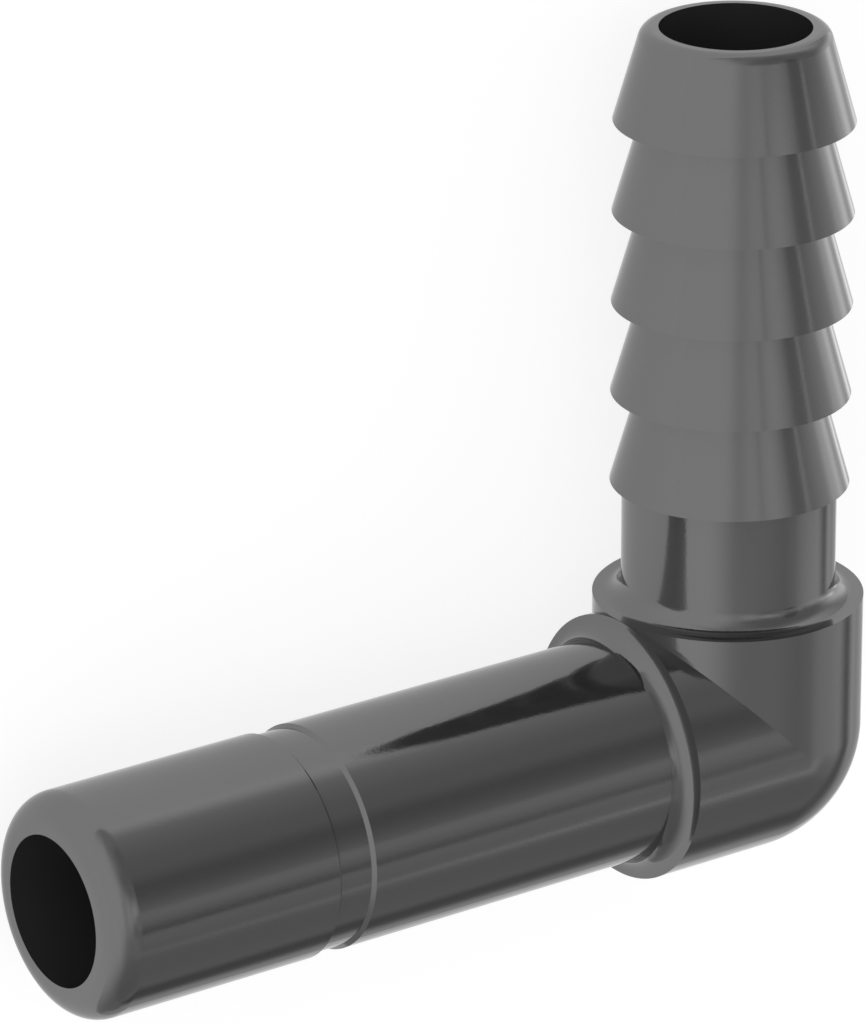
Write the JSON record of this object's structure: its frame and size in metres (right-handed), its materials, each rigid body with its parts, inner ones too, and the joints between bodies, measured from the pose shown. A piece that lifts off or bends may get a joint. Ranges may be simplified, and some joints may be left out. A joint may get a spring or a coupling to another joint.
{
  "type": "plug-in stem to hose barb elbow",
  "caption": "One-piece plastic elbow: a grooved stem of tube size plugs into a push-to-connect port, and a barbed tail at right angles to it holds soft hose.",
  "frame": {"origin": "the point where the axes of the two legs cross, level with the centre of the ball-shaped outer corner", "axes": "-X along the stem towards its nose, +Y along the barbed tail towards its tip, +Z square to both legs; the elbow lies on its side"},
  "size_m": [0.0397, 0.0364, 0.0114],
  "materials": {
    "plastic": "smooth moulded dark grey plastic with a soft gloss"
  },
  "bodies": {
    "root": {"elbow": "plastic"}
  },
  "joints": []
}
